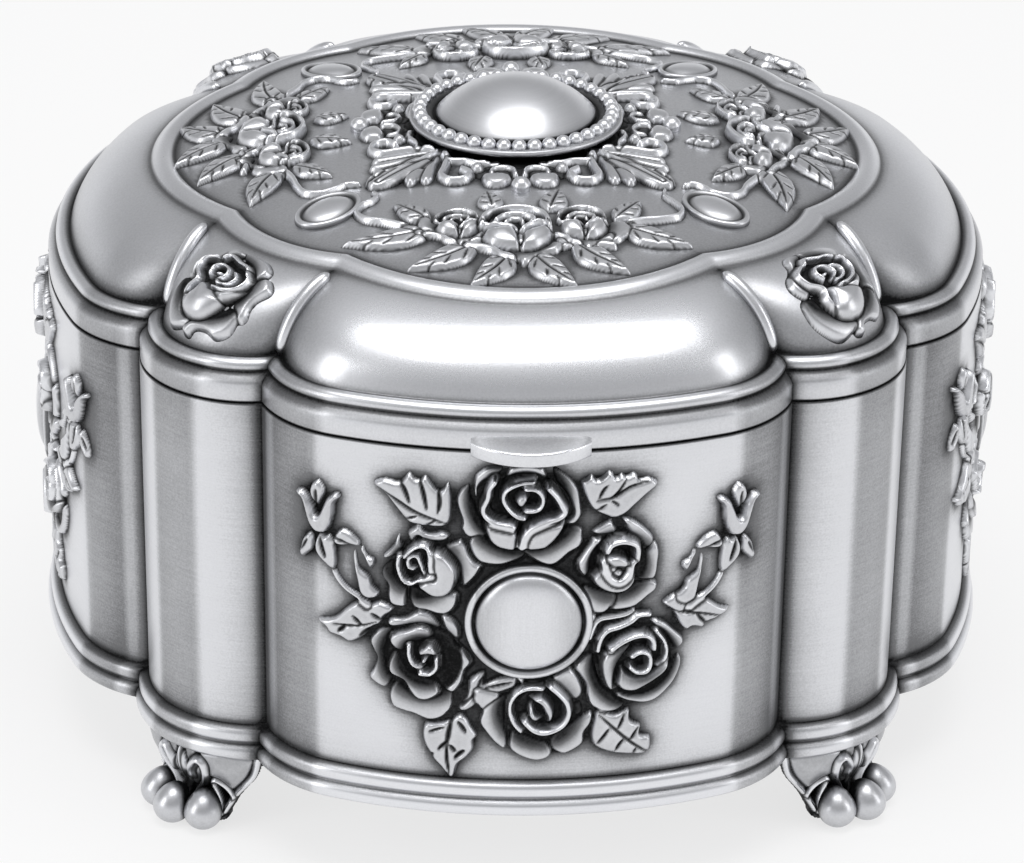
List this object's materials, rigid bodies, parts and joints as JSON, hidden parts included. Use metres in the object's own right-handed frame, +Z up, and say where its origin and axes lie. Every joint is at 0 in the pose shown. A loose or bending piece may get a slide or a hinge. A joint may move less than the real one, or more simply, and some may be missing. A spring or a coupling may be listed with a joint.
{
  "type": "rosary box",
  "caption": "Square keepsake box with bowed panels, corner columns and bracket feet, cast with roses, and a domed lid hinged at the back with a boss on top.",
  "frame": {"origin": "on the table, midway between the four feet, under the middle of the box", "axes": "+Z up, -Y towards the front, where the thumb tab is, +X to the right seen from the front"},
  "size_m": [0.1252, 0.128, 0.0827],
  "materials": {
    "pewter": "cast pewter, antiqued dark in the recesses and brushed bright on the plain faces",
    "relief_pewter": "cast pewter relief, dark in the hollows and polished by wear on the high edges",
    "dark_pewter": "pewter, oxidised dull grey",
    "steel_fixing": "plain steel",
    "velvet": "short-pile wine velvet"
  },
  "bodies": {
    "box": {"body_shell": "pewter", "floor_plate": "dark_pewter", "body_lining": "velvet", "floor_cushion": "velvet", "foot_front_left": "pewter", "foot_front_right": "pewter", "foot_back_left": "pewter", "foot_back_right": "pewter", "foot_screws": "steel_fixing", "rose_spray_front": "relief_pewter", "rose_spray_right": "relief_pewter", "rose_spray_back": "relief_pewter", "rose_spray_left": "relief_pewter", "cabochon_front": "relief_pewter", "cabochon_right": "relief_pewter", "cabochon_back": "relief_pewter", "cabochon_left": "relief_pewter", "hinge_lug_left": "dark_pewter", "hinge_lug_right": "dark_pewter", "hinge_lug_rivets": "steel_fixing", "hinge_pin": "steel_fixing"},
    "lid": {"lid_shell": "pewter", "lid_cushion": "velvet", "corner_rose_front_left": "relief_pewter", "corner_rose_front_right": "relief_pewter", "corner_rose_back_left": "relief_pewter", "corner_rose_back_right": "relief_pewter", "garland_front": "relief_pewter", "garland_right": "relief_pewter", "garland_back": "relief_pewter", "garland_left": "relief_pewter", "oval_stud_front_left": "relief_pewter", "oval_stud_front_right": "relief_pewter", "oval_stud_back_left": "relief_pewter", "oval_stud_back_right": "relief_pewter", "acanthus_mount": "relief_pewter", "boss_plate": "relief_pewter", "boss_dome": "relief_pewter", "boss_nut": "steel_fixing", "hinge_lid_bracket": "dark_pewter", "hinge_lid_rivets": "steel_fixing"}
  },
  "joints": [
    {"name": "lid_hinge", "type": "hinge", "parent": "box", "child": "lid", "pos_m": [0, 0.0629, 0.0595], "axis": [-1, 0, 0], "range_deg": [0, 100]}
  ]
}
